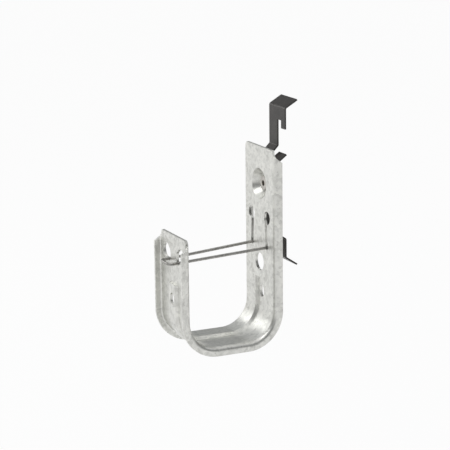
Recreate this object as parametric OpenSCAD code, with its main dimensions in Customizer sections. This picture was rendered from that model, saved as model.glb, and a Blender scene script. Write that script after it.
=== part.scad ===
// J-hook cable support: a channel-section steel strip bent to a J, with a rivetted
// spring clip behind its back plate and a wire retainer across its mouth.
// X runs across the strip, -Y towards the mouth's front plate, Z up. The origin is the
// middle of the fixing hole, on the back plate's face that the cables lie against. Heights
// are worked out from the back plate's top edge, and placed() lifts them to the origin.

/* [Strip] */
// Width of the strip over its flanges
strip_w = 38; // [34:0.5:44]
// Thickness of the sheet
sheet_t = 1.5; // [1.2:0.1:1.8]
// Depth of the channel, from the cable face to the free edge of a flange
flange_d = 5; // [4.4:0.1:5.2]
// Outer radius of the fold between the web and a flange
fold_r = 2.5; // [2:0.1:3]
// Distance from the back plate to the front plate, inside
mouth_w = 51; // [46:1:64]
// Radius of the two bends, on the cable face
bend_r = 16; // [14:0.5:18]
// Height of the back plate, from its top edge to the inner floor
back_h = 106.4; // [102:0.2:120]
// Height of the front plate, from its top edge to the inner floor
front_h = 61.6; // [60:0.2:64]

/* [Strip ends] */
// Width of the straight part of a plate's top edge
top_flat_w = 31; // [28:0.5:32]
// How far the corner cut falls from the top edge to the fold
corner_drop = 4.3; // [3:0.1:5]
// How far the corner cut falls from the top edge to the flange's free edge
flange_drop = 6.8; // [6:0.1:8]

/* [Groove] */
// Width of the stiffening groove along the middle of the strip
groove_w = 11.2; // [10:0.2:12]
// Width of the groove's floor
groove_floor_w = 8.6; // [7.6:0.2:9]
// Depth of the groove
groove_d = 1.4; // [1:0.1:1.8]
// Depth of the groove's back end below the back plate's top edge
groove_back_z = 75; // [74:0.5:77]
// Depth of the groove's front end below the front plate's top edge
groove_front_z = 27.4; // [26:0.2:30]
// Width of the drain slot at each end of the groove
drain_w = 4.6; // [3.6:0.2:5]
// Height of the drain slot
drain_h = 6.6; // [6:0.2:8]
// Distance from the groove's end to the middle of the drain slot
drain_in = 8.4; // [7.4:0.2:10]

/* [Dimple and rivet] */
// Depth of the rivet below the back plate's top edge
rivet_z = 21.3; // [20.5:0.1:22]
// Diameter of the round dimple at the plate's face
dimple_w = 17.6; // [17:0.2:19]
// Diameter of the dimple's floor
dimple_floor_w = 12.6; // [12:0.2:13.4]
// Depth of the dimple
dimple_d = 4.2; // [4.1:0.1:4.4]
// Diameter of the rivet's shank
rivet_shank_w = 4.8; // [4:0.1:5.4]
// Diameter of the rivet's heads
rivet_head_w = 9.6; // [8.6:0.2:10.4]
// Height of the rolled rivet end in the dimple
rivet_front_h = 1.6; // [1.2:0.1:1.8]
// Height of the rivet's factory head behind the clip
rivet_back_h = 1.2; // [0.9:0.1:1.5]
// Diameter of the hollow in the rolled end
rivet_hollow_w = 3.2; // [2.4:0.1:3.4]

/* [Holes] */
// Diameter of the fixing hole in the back plate
fix_hole_w = 10.4; // [9:0.2:11]
// Depth of the fixing hole below the back plate's top edge
fix_hole_z = 65.8; // [65:0.2:66.4]
// Diameter of the round end of a keyhole
key_w = 7.4; // [7:0.1:7.8]
// Depth of the keyholes' round ends below the top edge
key_z = 39.2; // [38.4:0.1:40]
// Distance from the middle of the strip to a keyhole's round end
key_x = 9.5; // [9.2:0.1:9.8]
// Width of a keyhole's narrow slit
slit_w = 2.9; // [2.8:0.05:3.1]
// Distance from the retainer's leg outwards to the middle of the slit's foot
slit_off = 0.35; // [0.3:0.05:0.5]
// How far a slit's middle leans outwards from its top to its foot
slit_lean = 0.9; // [0.6:0.1:1]
// Diameter of a round window in the front plate
window_w = 8.4; // [7.8:0.1:9]
// Depth of the windows below the front plate's top edge
window_z = 10.2; // [9.8:0.1:10.8]
// Distance from the middle of the strip to a window
window_x = 9.5; // [9:0.1:10]

/* [Retainer wire] */
// Diameter of the retainer wire
wire_d = 1.6; // [1.4:0.05:1.7]
// Distance between the retainer's legs at the front plate
wire_front_gap = 12.2; // [11.6:0.1:12.8]
// Distance between the retainer's legs at the back plate
wire_back_gap = 17.4; // [17:0.1:17.8]
// How far the wire rises from the front plate to the back plate
wire_rise = 3.2; // [2:0.1:4]
// How far the retainer's nose stands out from the front plate's cable face
nose_out = 6.6; // [6:0.1:8]
// Length of the hooked tips behind the back plate
tip_l = 3; // [2:0.1:3.4]
// Bend radius at the middle of the wire, at the hooked tips
tip_r = 1.2; // [1:0.1:1.4]
// Bend radius at the middle of the wire, at the nose's corners
nose_r = 2.6; // [2:0.1:3]
// Clearance between the wire and the foot of its openings
wire_gap = 0.5; // [0.4:0.05:0.6]

/* [Spring clip] */
// Width of the clip's strip
clip_w = 19; // [17:0.5:20]
// Thickness of the clip's strip
clip_t = 0.9; // [0.7:0.05:1]
// Play between the dimple and the clip, and between the clip and the rivet's head
clip_play = 0.1; // [0.06:0.01:0.12]
// Radial running clearance of the rivet in the clip
rivet_play = 0.06; // [0.04:0.01:0.08]
// Distance from the back plate's cable face to the middle of the clip's outer legs
leg_y = 11.8; // [11:0.1:13]
// Height of the upper leg's fold above the back plate's top edge
head_z = 21.4; // [18:0.2:24]
// Depth of the upper leg's foot below the top edge
leg_foot_z = 0.8; // [0.4:0.1:1.4]
// Depth of the lower leg's top below the top edge
lower_top_z = 52.4; // [51:0.2:54]
// Height of the lower leg
lower_h = 10.6; // [9:0.2:12]
// Length of each flared lip
lip_l = 8.4; // [6:0.2:10]
// Slope of the upper lip, in degrees
upper_lip_a = 30; // [20:1:40]
// Slope of the lower lip, in degrees
lower_lip_a = 34; // [20:1:40]
// Slope of the upper joggle, in degrees
joggle_a = 45; // [40:1:50]
// Slope of the lower joggle, in degrees
lower_joggle_a = 33; // [28:1:38]
// Inner radius of the clip's folds
clip_fold_r = 0.8; // [0.5:0.1:1.2]
// Width of the notch beside the upper leg's prong
notch_w = 4.6; // [3.6:0.2:5]
// Height of the notch's top above the back plate's top edge
notch_z = 14; // [12:0.2:16]
// Height of the prong's tip above the back plate's top edge
prong_z = 9.6; // [8:0.2:11]
// Width of the narrow part of the upper leg
narrow_w = 9.8; // [8.6:0.2:10.4]
// Depth of the side tongue's root below the top edge
tongue_z = 9; // [8.4:0.2:10]
// Slope of the side tongue, in degrees
tongue_a = 36; // [30:1:42]
// Distance from the back plate's cable face to the tip of the side tongue
tongue_y = 12.4; // [11:0.1:13]

/* [Hidden] */
$fn = 48;
eps = 0.01;
reach = 4 * strip_w;

// Strip
inner_r = fold_r - sheet_t;
floor_z = -back_h;
front_top_z = floor_z + front_h;
front_y = -mouth_w;
bend_z = floor_z + bend_r;
flat_l = mouth_w - 2 * bend_r;
web_y = sheet_t;
window_mid_z = front_top_z - window_z;
drain_run = drain_h - drain_w;
drain_back_z = -groove_back_z - drain_in;
drain_front_z = front_top_z - groove_front_z - drain_in;

// Retainer
wire_r = wire_d / 2;
leg_front_x = wire_front_gap / 2;
leg_back_x = wire_back_gap / 2;
pivot_y = front_y - sheet_t / 2;
plates_run = mouth_w + sheet_t;
bend_swell = 0.015;
bend_lap = 0.05;
wire_tilt = atan2(wire_rise, plates_run);
leg_slope = (leg_back_x - leg_front_x) * cos(wire_tilt) / plates_run;
leg_a = atan(leg_slope);
leg_run = (web_y + wire_r + wire_gap - pivot_y) / cos(wire_tilt) - tip_r;
nose_run = (nose_out - sheet_t / 2) / cos(wire_tilt);
window_foot_w = 2 * (wire_r + 1.2);
wire_pivot_z = window_mid_z - 4.3;
window_foot_z = wire_pivot_z - wire_r - wire_gap;
wire_back_z = wire_pivot_z + wire_rise;
slit_foot_z = wire_back_z - wire_r - wire_gap;
slit_foot_x = leg_back_x + slit_off;
slit_top_x = slit_foot_x - slit_lean;

// Clip: the middle line of its strip runs in the YZ plane
clip_mid_r = clip_fold_r + clip_t / 2;
fold_steps = 6;
tongue_hold = 4;
body_y = dimple_d + sheet_t + clip_play + clip_t / 2;
upper_run = leg_y - body_y;
upper_body_z = -leg_foot_z - upper_run * tan(joggle_a);
lower_body_z = -lower_top_z + upper_run * tan(lower_joggle_a);
lower_end_z = -lower_top_z - lower_h;
narrow_x = -clip_w / 2 + narrow_w;
prong_x = narrow_x + notch_w;
tongue_x = narrow_x + 0.6;

// --- Strip section and the path that it follows ---

// Half of the channel section, u across the strip and v outwards from the cable face
module half_channel() {
    translate([0, 0]) square([strip_w / 2 - fold_r, sheet_t]);
    translate([strip_w / 2 - sheet_t, fold_r]) square([sheet_t, flange_d - fold_r]);
    translate([strip_w / 2 - fold_r, fold_r]) intersection() {
        difference() {
            circle(r = fold_r);
            circle(r = inner_r);
        }
        translate([0, -fold_r]) square(fold_r);
    }
}

module channel() {
    half_channel();
    mirror([1, 0]) half_channel();
}

// Section of the groove's hollow, and of the ridge that it raises behind the web
module groove_hollow() {
    polygon([
        [-groove_w / 2, -1], [groove_w / 2, -1], [groove_w / 2, 0],
        [groove_floor_w / 2, groove_d], [-groove_floor_w / 2, groove_d], [-groove_w / 2, 0],
    ]);
}

module groove_ridge() {
    polygon([
        [-groove_w / 2, 0], [groove_w / 2, 0], [groove_w / 2, sheet_t],
        [groove_floor_w / 2, groove_d + sheet_t], [-groove_floor_w / 2, groove_d + sheet_t],
        [-groove_w / 2, sheet_t],
    ]);
}

// A section carried down the back plate from z0, round both bends and up to z1 in front
module along_strip(z0, z1) {
    translate([0, 0, bend_z]) linear_extrude(z0 - bend_z) children();
    bend(0) children();
    translate([0, -bend_r, floor_z]) rotate([90, 0, 0])
        linear_extrude(flat_l) mirror([0, 1]) children();
    bend(1) children();
    translate([0, front_y, bend_z]) mirror([0, 1, 0]) linear_extrude(z1 - bend_z) children();
}

// One bend: a quarter turn about an axis along X; side 1 is the front one
module bend(side) {
    translate([0, side ? front_y + bend_r : -bend_r, bend_z])
        mirror([0, side, 0]) rotate([0, 90, 0])
        rotate_extrude(angle = 90, $fn = 96)
        translate([bend_r, 0]) rotate(90) mirror([0, 1]) children();
}

// Heights count from the back plate's top edge; this lifts the part to its own origin
module placed() {
    translate([0, 0, fix_hole_z]) children();
}

// --- Cuts in the strip ---

// What the two top corners of a plate lose; the top edge is at z = 0 and v runs along y
module corner_cuts() {
    for (s = [0, 1]) mirror([s, 0, 0]) {
        translate([0, flange_d + 1, 0]) rotate([90, 0, 0]) linear_extrude(flange_d + 2) polygon([
            [top_flat_w / 2, 1], [top_flat_w / 2, 0], [strip_w / 2, -corner_drop],
            [strip_w / 2 + 1, -corner_drop], [strip_w / 2 + 1, 1],
        ]);
        translate([strip_w / 2 - fold_r, 0, 0]) rotate([90, 0, 90]) linear_extrude(fold_r + 1) polygon([
            [0, 1], [0, 0], [sheet_t, -corner_drop],
            [flange_d + 1, -flange_drop - (flange_drop - corner_drop) / (flange_d - sheet_t)],
            [flange_d + 1, 1],
        ]);
    }
}

// A through hole along Y
module bore(x, z, d) {
    translate([x, reach / 2, z]) rotate([90, 0, 0]) cylinder(h = reach, d = d);
}

// A slit along Y with round ends, leaning from (x0, z0) up to (x1, z1)
module slit(x0, z0, x1, z1, w) {
    bore(x0, z0, w);
    lean = atan2(x0 - x1, z1 - z0);
    run = norm([x1 - x0, z1 - z0]);
    translate([x0, -reach / 2, z0]) rotate([0, -lean, 0])
        translate([-w / 2, 0, 0]) cube([w, reach, run]);
    bore(x1, z1, w);
}

module back_holes() {
    bore(0, -fix_hole_z, fix_hole_w);
    for (s = [-1, 1]) {
        bore(s * key_x, -key_z, key_w);
        slit(s * slit_foot_x, slit_foot_z + slit_w / 2, s * slit_top_x, -key_z, slit_w);
    }
    slit(0, drain_back_z - drain_run / 2, 0, drain_back_z + drain_run / 2, drain_w);
}

module front_holes() {
    for (s = [-1, 1]) {
        bore(s * window_x, window_mid_z, window_w);
        slit(s * leg_front_x, window_foot_z + window_foot_w / 2,
            s * leg_front_x, window_mid_z, window_foot_w);
    }
    slit(0, drain_front_z - drain_run / 2, 0, drain_front_z + drain_run / 2, drain_w);
}

// --- The hook ---

module dimple(grow) {
    translate([0, 0, -rivet_z]) rotate([-90, 0, 0]) cylinder(
        h = dimple_d + grow, d1 = dimple_w + 2 * grow, d2 = dimple_floor_w + 2 * grow, $fn = 64);
}

module j_hook() {
    color("lightgray") placed() difference() {
        union() {
            difference() {
                along_strip(0, front_top_z) channel();
                corner_cuts();
                translate([0, front_y, front_top_z]) mirror([0, 1, 0]) corner_cuts();
            }
            along_strip(-groove_back_z, front_top_z - groove_front_z) groove_ridge();
            dimple(sheet_t);
        }
        along_strip(-groove_back_z, front_top_z - groove_front_z) groove_hollow();
        translate([0, -eps, 0]) dimple(0);
        bore(0, -rivet_z, rivet_shank_w);
        intersection() {
            back_holes();
            translate([-reach / 2, front_y / 2, -reach]) cube([reach, reach, 2 * reach]);
        }
        intersection() {
            front_holes();
            translate([-reach / 2, front_y / 2 - reach, -reach]) cube([reach, reach, 2 * reach]);
        }
    }
}

// --- The rivet: it is clinched tight in the dimple and runs freely in the clip ---

module rivet() {
    floor_y = dimple_d;
    clip_back_y = body_y + clip_t / 2 + clip_play;
    color("silver") placed() translate([0, 0, -rivet_z]) rotate([-90, 0, 0]) difference() {
        union() {
            translate([0, 0, floor_y - rivet_front_h])
                cylinder(h = rivet_front_h, d1 = rivet_head_w * 0.8, d2 = rivet_head_w);
            translate([0, 0, floor_y - eps])
                cylinder(h = clip_back_y - floor_y + 2 * eps, d = rivet_shank_w);
            translate([0, 0, clip_back_y])
                cylinder(h = rivet_back_h, d1 = rivet_head_w, d2 = rivet_head_w * 0.6);
        }
        translate([0, 0, floor_y - rivet_front_h - 1])
            cylinder(h = rivet_front_h + 2, d = rivet_hollow_w);
    }
}

// --- The spring clip ---

// A line of points of the strip's middle, in the YZ plane, is folded at each inner point
function heading(p, q) = atan2(q[1] - p[1], q[0] - p[0]);
function normal(h) = [-sin(h), cos(h)];
function is_end(line, i) = i == 0 || i == len(line) - 1;

// How far the line turns at its inner point i, in degrees
function turn(line, i) =
    let (t = heading(line[i], line[i + 1]) - heading(line[i - 1], line[i]))
    t > 180 ? t - 360 : t < -180 ? t + 360 : t;

// Length that the fold at an inner point takes from the flats on both sides; none at an end
function fold_run(line, i) = is_end(line, i) ? 0 : clip_mid_r * tan(abs(turn(line, i)) / 2);

// The headings that the strip takes at a point, one after the other
function headings(line, i) =
    i == 0 ? [heading(line[0], line[1])] :
    i == len(line) - 1 ? [heading(line[i - 1], line[i])] :
    [for (k = [0 : fold_steps]) heading(line[i - 1], line[i]) + turn(line, i) * k / fold_steps];

// Where the strip's middle is at point i once it has the heading h
function mid_point(line, i, h) =
    is_end(line, i) ? line[i] :
    let (h0 = heading(line[i - 1], line[i]), r = sign(turn(line, i)) * clip_mid_r)
    line[i] - fold_run(line, i) * [cos(h0), sin(h0)] + r * (normal(h0) - normal(h));

function strip_side(line, side) = [
    for (i = [0 : len(line) - 1]) for (h = headings(line, i))
        mid_point(line, i, h) + side * clip_t / 2 * normal(h)
];

function reversed(list) = [for (i = [len(list) - 1 : -1 : 0]) list[i]];

module clip_section(line) {
    polygon(concat(strip_side(line, 1), reversed(strip_side(line, -1))));
}

module clip_strip(line, x0, x1) {
    translate([x0, 0, 0]) rotate([90, 0, 90]) linear_extrude(x1 - x0) clip_section(line);
}

// A window through the clip along Y
module clip_cut(x0, z0, x1, z1) {
    translate([x0, 0, z0]) cube([x1 - x0, reach, z1 - z0]);
}

module spring_clip() {
    half = clip_w / 2;
    head = [leg_y, head_z];
    upper_tip = head + lip_l * [cos(upper_lip_a), sin(upper_lip_a)];
    foot = [leg_y, -leg_foot_z];
    body_top = [body_y, upper_body_z];
    tongue_root = [body_y, -tongue_z];
    tongue_tip = [tongue_y, -tongue_z + (tongue_y - body_y) * tan(tongue_a)];
    body_end = [body_y, lower_body_z];
    lower_top = [leg_y, -lower_top_z];
    lower_end = [leg_y, lower_end_z];
    lower_tip = lower_end + lip_l * [cos(lower_lip_a), -sin(lower_lip_a)];
    tongue = [tongue_tip, tongue_root, [body_y, -tongue_z - tongue_hold]];
    cut_z = -tongue_z - fold_run(tongue, 1);
    color([0.24, 0.22, 0.21]) placed() difference() {
        union() {
            difference() {
                clip_strip([upper_tip, head, foot, body_top, body_end, lower_top, lower_end,
                    lower_tip], -half, half);
                clip_cut(narrow_x, cut_z, prong_x, notch_z);
                clip_cut(narrow_x, cut_z, half + 1, prong_z);
            }
            clip_strip(tongue, tongue_x, half);
        }
        bore(0, -rivet_z, rivet_shank_w + 2 * rivet_play);
    }
}

// --- The retainer wire ---

// The wire's own frame: x across, y along its middle from the front plate's windows to the
// back, z out of the plane that its legs lie in
module wire_frame() {
    translate([0, pivot_y, wire_pivot_z]) rotate([wire_tilt, 0, 0]) children();
}

// A bent length of the wire, a hair thicker than the straight lengths that run into it
module wire_bend(r, a) {
    rotate_extrude(angle = a) translate([r, 0]) circle(d = wire_d + 2 * bend_swell);
}

// A straight length of the wire, from the origin along -z
module wire_run(length) {
    translate([0, 0, -length - bend_lap]) cylinder(h = length + 2 * bend_lap, d = wire_d);
}

// A leg from its corner at the nose to the hook at its back end
module wire_leg() {
    corner_x = leg_front_x + (nose_r - nose_run) * leg_slope - nose_r / cos(leg_a);
    corner = [corner_x, nose_r - nose_run, 0];
    start = corner + nose_r * [cos(leg_a), -sin(leg_a), 0];
    end = [leg_front_x + leg_run * leg_slope, leg_run, 0];
    translate(end) rotate([0, 0, -leg_a]) {
        rotate([-90, 0, 0]) wire_run(norm(end - start));
        translate([0, 0, -tip_r]) rotate([90, 0, 90]) wire_bend(tip_r, 90);
        translate([0, tip_r, -tip_r]) wire_run(tip_l - tip_r);
    }
    translate(corner) rotate([0, 0, -90]) wire_bend(nose_r, 90 - leg_a);
}

module retainer_wire() {
    color("gray") placed() wire_frame() {
        wire_leg();
        mirror([1, 0, 0]) wire_leg();
        nose_half = leg_front_x + (nose_r - nose_run) * leg_slope - nose_r / cos(leg_a);
        translate([nose_half, -nose_run, 0]) rotate([0, 90, 0]) wire_run(2 * nose_half);
    }
}

j_hook();
rivet();
spring_clip();
retainer_wire();
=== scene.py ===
import math

import bpy
from mathutils import Matrix, Vector

# Camera: the photograph's angle, framing and long lens. Lengths are in metres.
AZIMUTH = math.radians(65.27)
ELEVATION = math.radians(13.47)
ROLL = math.radians(-0.76)
CAMERA_AIM = Vector((0.0, -0.026, 0.0208))
CAMERA_DISTANCE = 1.0
LENS_MM = 144.75
SENSOR_MM = 36.0
SHIFT = (0.0176, 0.0114)
CLIP = (0.01, 20.0)

# Floor, well below the hanging part
FLOOR_Z = -0.16
FLOOR_SIZE = 6.0
# Share of plain white that the camera and metal see of the floor; the rest keeps the shadow
FLOOR_WHITE = 0.95

# Soft light that reaches dull surfaces from all round
SKY_COLOUR = (0.95, 0.97, 1.0)
SKY_STRENGTH = 0.45

# Lamps: name, place, side of the square and power in watts
LAMP_AIM = Vector((0.0, -0.026, 0.02))
LAMPS = (
    ("key", (-0.80, -0.45, 0.35), 0.45, 1.3),
    ("top", (0.25, -0.55, 0.95), 0.5, 2.6),
)

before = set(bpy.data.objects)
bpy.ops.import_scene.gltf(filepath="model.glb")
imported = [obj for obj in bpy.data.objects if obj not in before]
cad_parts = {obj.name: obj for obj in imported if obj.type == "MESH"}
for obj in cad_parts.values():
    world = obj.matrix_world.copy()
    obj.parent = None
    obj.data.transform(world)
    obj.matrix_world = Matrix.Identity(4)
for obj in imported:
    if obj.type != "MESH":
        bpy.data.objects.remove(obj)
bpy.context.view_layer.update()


# --- Node helpers ---


def noise(tree, coord, scale, detail=4.0, roughness=0.55):
    """A noise value from 0 to 1, by a coordinate in metres."""
    node = tree.nodes.new("ShaderNodeTexNoise")
    node.inputs["Scale"].default_value = scale
    node.inputs["Detail"].default_value = detail
    node.inputs["Roughness"].default_value = roughness
    tree.links.new(coord, node.inputs["Vector"])
    return node.outputs["Fac"]


def mapped(tree, value, low, high, to_low, to_high):
    """A value taken from the range low..high to the range to_low..to_high."""
    node = tree.nodes.new("ShaderNodeMapRange")
    node.inputs["From Min"].default_value = low
    node.inputs["From Max"].default_value = high
    node.inputs["To Min"].default_value = to_low
    node.inputs["To Max"].default_value = to_high
    tree.links.new(value, node.inputs["Value"])
    return node.outputs["Result"]


def maths(tree, kind, a, b):
    """One operation on a and b, which are numbers or outputs."""
    node = tree.nodes.new("ShaderNodeMath")
    node.operation = kind
    for socket, value in zip(node.inputs, (a, b)):
        if isinstance(value, (int, float)):
            socket.default_value = value
        else:
            tree.links.new(value, socket)
    return node.outputs["Value"]


def ramp(tree, value, stops):
    """Colour from a value, by stops of (place, colour) in rising order."""
    node = tree.nodes.new("ShaderNodeValToRGB")
    elements = node.color_ramp.elements
    for i, (place, colour) in enumerate(stops):
        element = elements[i] if i < 2 else elements.new(place)
        element.position = place
        element.color = (*colour, 1.0)
    tree.links.new(value, node.inputs["Fac"])
    return node.outputs["Color"]


def mixed(tree, share, first, second):
    """Shader that goes from first to second as share goes from 0 to 1."""
    node = tree.nodes.new("ShaderNodeMixShader")
    tree.links.new(share, node.inputs["Fac"])
    tree.links.new(first, node.inputs[1])
    tree.links.new(second, node.inputs[2])
    return node.outputs["Shader"]


def empty_tree(owner):
    """The cleared node tree of a material or world."""
    owner.use_nodes = True
    owner.node_tree.nodes.clear()
    return owner.node_tree


# --- Finishes of the part; their textures are in the part's own coordinates ---


def new_material(name):
    """A material with its tree, its principled shader and the object coordinate."""
    mat = bpy.data.materials.new(name)
    tree = empty_tree(mat)
    out = tree.nodes.new("ShaderNodeOutputMaterial")
    shader = tree.nodes.new("ShaderNodeBsdfPrincipled")
    tree.links.new(shader.outputs["BSDF"], out.inputs["Surface"])
    place = tree.nodes.new("ShaderNodeTexCoord").outputs["Object"]
    return mat, tree, shader, place


def bump(tree, shader, height, strength, distance):
    node = tree.nodes.new("ShaderNodeBump")
    node.inputs["Strength"].default_value = strength
    node.inputs["Distance"].default_value = distance
    tree.links.new(height, node.inputs["Height"])
    tree.links.new(node.outputs["Normal"], shader.inputs["Normal"])


def galvanised_sheet():
    """Hot-dip zinc: small dull crystals, slightly warm, with cloudy patches."""
    mat, tree, shader, place = new_material("galvanised_sheet")
    cells = tree.nodes.new("ShaderNodeTexVoronoi")
    cells.inputs["Scale"].default_value = 620.0
    tree.links.new(place, cells.inputs["Vector"])
    grey = tree.nodes.new("ShaderNodeRGBToBW")
    tree.links.new(cells.outputs["Color"], grey.inputs["Color"])
    clouds = noise(tree, place, scale=150.0, detail=5.0, roughness=0.6)
    grain = noise(tree, place, scale=1500.0, detail=3.0)
    mix = maths(tree, "ADD", maths(tree, "MULTIPLY", grey.outputs["Val"], 0.3),
                maths(tree, "MULTIPLY", clouds, 0.5))
    mix = maths(tree, "ADD", mix, maths(tree, "MULTIPLY", grain, 0.2))
    colour = ramp(tree, mix, [
        (0.25, (0.52, 0.52, 0.49)),
        (0.5, (0.72, 0.72, 0.685)),
        (0.75, (0.86, 0.855, 0.81)),
    ])
    tree.links.new(colour, shader.inputs["Base Color"])
    tree.links.new(mapped(tree, mix, 0.25, 0.75, 0.44, 0.28), shader.inputs["Roughness"])
    shader.inputs["Metallic"].default_value = 0.85
    bump(tree, shader, maths(tree, "ADD", clouds, grain), strength=0.12, distance=0.0004)
    return mat


def cloudy_metal(name, scale, dark, light, rough, smooth, metallic):
    """Bare metal whose colour and roughness follow one fine noise."""
    mat, tree, shader, place = new_material(name)
    clouds = noise(tree, place, scale)
    tree.links.new(ramp(tree, clouds, [(0.3, dark), (0.7, light)]), shader.inputs["Base Color"])
    tree.links.new(mapped(tree, clouds, 0.3, 0.7, rough, smooth), shader.inputs["Roughness"])
    shader.inputs["Metallic"].default_value = metallic
    return mat


def rivet_steel():
    return cloudy_metal("rivet_steel", scale=500.0, dark=(0.42, 0.40, 0.37),
                        light=(0.62, 0.60, 0.56), rough=0.38, smooth=0.26, metallic=1.0)


def galvanised_wire():
    return cloudy_metal("galvanised_wire", scale=700.0, dark=(0.28, 0.275, 0.26),
                        light=(0.42, 0.41, 0.39), rough=0.42, smooth=0.30, metallic=0.95)


def spring_steel():
    """Dark phosphate finish with a fine grain."""
    mat, tree, shader, place = new_material("spring_steel")
    clouds = noise(tree, place, scale=160.0, detail=5.0, roughness=0.6)
    grain = noise(tree, place, scale=1400.0, detail=3.0)
    colour = ramp(tree, clouds, [(0.3, (0.030, 0.027, 0.025)), (0.7, (0.058, 0.052, 0.048))])
    tree.links.new(colour, shader.inputs["Base Color"])
    tree.links.new(mapped(tree, grain, 0.3, 0.7, 0.34, 0.46), shader.inputs["Roughness"])
    shader.inputs["Metallic"].default_value = 0.35
    bump(tree, shader, grain, strength=0.08, distance=0.0002)
    return mat


def paint(node, mat):
    """Puts the finish in every slot of a CAD node."""
    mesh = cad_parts[node].data
    for i in range(len(mesh.materials)):
        mesh.materials[i] = mat
    if not mesh.materials:
        mesh.materials.append(mat)


# --- Studio ---


def add_camera():
    back = Vector((math.sin(AZIMUTH) * math.cos(ELEVATION),
                   -math.cos(AZIMUTH) * math.cos(ELEVATION), math.sin(ELEVATION)))
    right = Vector((0, 0, 1)).cross(back).normalized()
    turned = Matrix((right, back.cross(right), back)).transposed().to_4x4()
    data = bpy.data.cameras.new("camera")
    data.lens = LENS_MM
    data.sensor_width = SENSOR_MM
    data.shift_x, data.shift_y = SHIFT
    data.clip_start, data.clip_end = CLIP
    camera = bpy.data.objects.new("camera", data)
    bpy.context.scene.collection.objects.link(camera)
    camera.matrix_world = (Matrix.Translation(CAMERA_AIM + back * CAMERA_DISTANCE)
                           @ turned @ Matrix.Rotation(ROLL, 4, "Z"))
    bpy.context.scene.camera = camera


def floor_white():
    """Pale floor that the camera and metal see as almost plain white."""
    mat = bpy.data.materials.new("floor_white")
    tree = empty_tree(mat)
    place = tree.nodes.new("ShaderNodeTexCoord").outputs["Object"]
    shade = tree.nodes.new("ShaderNodeBsdfDiffuse")
    pale = ramp(tree, noise(tree, place, scale=3.0),
                [(0.0, (0.86, 0.86, 0.86)), (1.0, (0.90, 0.90, 0.90))])
    tree.links.new(pale, shade.inputs["Color"])
    glow = tree.nodes.new("ShaderNodeEmission")
    glow.inputs["Color"].default_value = (1, 1, 1, 1)
    glow.inputs["Strength"].default_value = 1.0
    path = tree.nodes.new("ShaderNodeLightPath")
    seen = maths(tree, "MAXIMUM", path.outputs["Is Camera Ray"], path.outputs["Is Glossy Ray"])
    share = maths(tree, "MULTIPLY", seen, FLOOR_WHITE)
    surface = mixed(tree, share, shade.outputs["BSDF"], glow.outputs["Emission"])
    out = tree.nodes.new("ShaderNodeOutputMaterial")
    tree.links.new(surface, out.inputs["Surface"])
    return mat


def add_floor():
    bpy.ops.mesh.primitive_plane_add(size=FLOOR_SIZE, location=(0, 0, FLOOR_Z))
    floor = bpy.context.object
    floor.name = "floor"
    floor.data.materials.append(floor_white())


def background(tree, colour, strength):
    node = tree.nodes.new("ShaderNodeBackground")
    node.inputs["Color"].default_value = (*colour, 1)
    node.inputs["Strength"].default_value = strength
    return node.outputs["Background"]


def metal_studio(tree):
    """What metal shows: white, with a dark band above the horizon, and dimmer towards +X."""
    node = tree.nodes.new("ShaderNodeBackground")
    ray = tree.nodes.new("ShaderNodeTexCoord").outputs["Generated"]
    split = tree.nodes.new("ShaderNodeSeparateXYZ")
    tree.links.new(ray, split.inputs["Vector"])
    height = mapped(tree, split.outputs["Z"], -1.0, 1.0, 0.0, 1.0)
    banded = ramp(tree, height, [
        (0.0, (0.80, 0.80, 0.80)),
        (0.40, (1.0, 0.99, 0.97)),
        (0.54, (0.90, 0.90, 0.89)),
        (0.61, (0.10, 0.11, 0.105)),
        (0.70, (0.08, 0.085, 0.085)),
        (0.80, (0.85, 0.86, 0.88)),
        (1.0, (1.0, 1.0, 1.0)),
    ])
    tree.links.new(banded, node.inputs["Color"])
    side = mapped(tree, split.outputs["X"], -0.2, 0.8, 1.0, 0.55)
    tree.links.new(side, node.inputs["Strength"])
    return node.outputs["Background"]


def add_world():
    """White to the camera, a banded studio to metal and a soft even sky to the rest."""
    world = bpy.data.worlds.new("studio")
    bpy.context.scene.world = world
    tree = empty_tree(world)
    path = tree.nodes.new("ShaderNodeLightPath")
    seen = maths(tree, "MAXIMUM",
                 path.outputs["Is Camera Ray"], path.outputs["Is Transmission Ray"])
    sky = background(tree, SKY_COLOUR, SKY_STRENGTH)
    plain = mixed(tree, seen, sky, background(tree, (1, 1, 1), 1.0))
    surface = mixed(tree, path.outputs["Is Glossy Ray"], plain, metal_studio(tree))
    out = tree.nodes.new("ShaderNodeOutputWorld")
    tree.links.new(surface, out.inputs["Surface"])


def add_lamp(name, place, side, power):
    lamp = bpy.data.lights.new(name, "AREA")
    lamp.shape = "SQUARE"
    lamp.size = side
    lamp.energy = power
    obj = bpy.data.objects.new(name, lamp)
    bpy.context.scene.collection.objects.link(obj)
    obj.location = place
    obj.rotation_euler = (LAMP_AIM - Vector(place)).to_track_quat("-Z", "Y").to_euler()


paint("j_hook", galvanised_sheet())
paint("rivet", rivet_steel())
paint("spring_clip", spring_steel())
paint("retainer_wire", galvanised_wire())
add_camera()
add_floor()
add_world()
for name, place, side, power in LAMPS:
    add_lamp(name, place, side, power)
bpy.context.scene.view_settings.view_transform = "Standard"
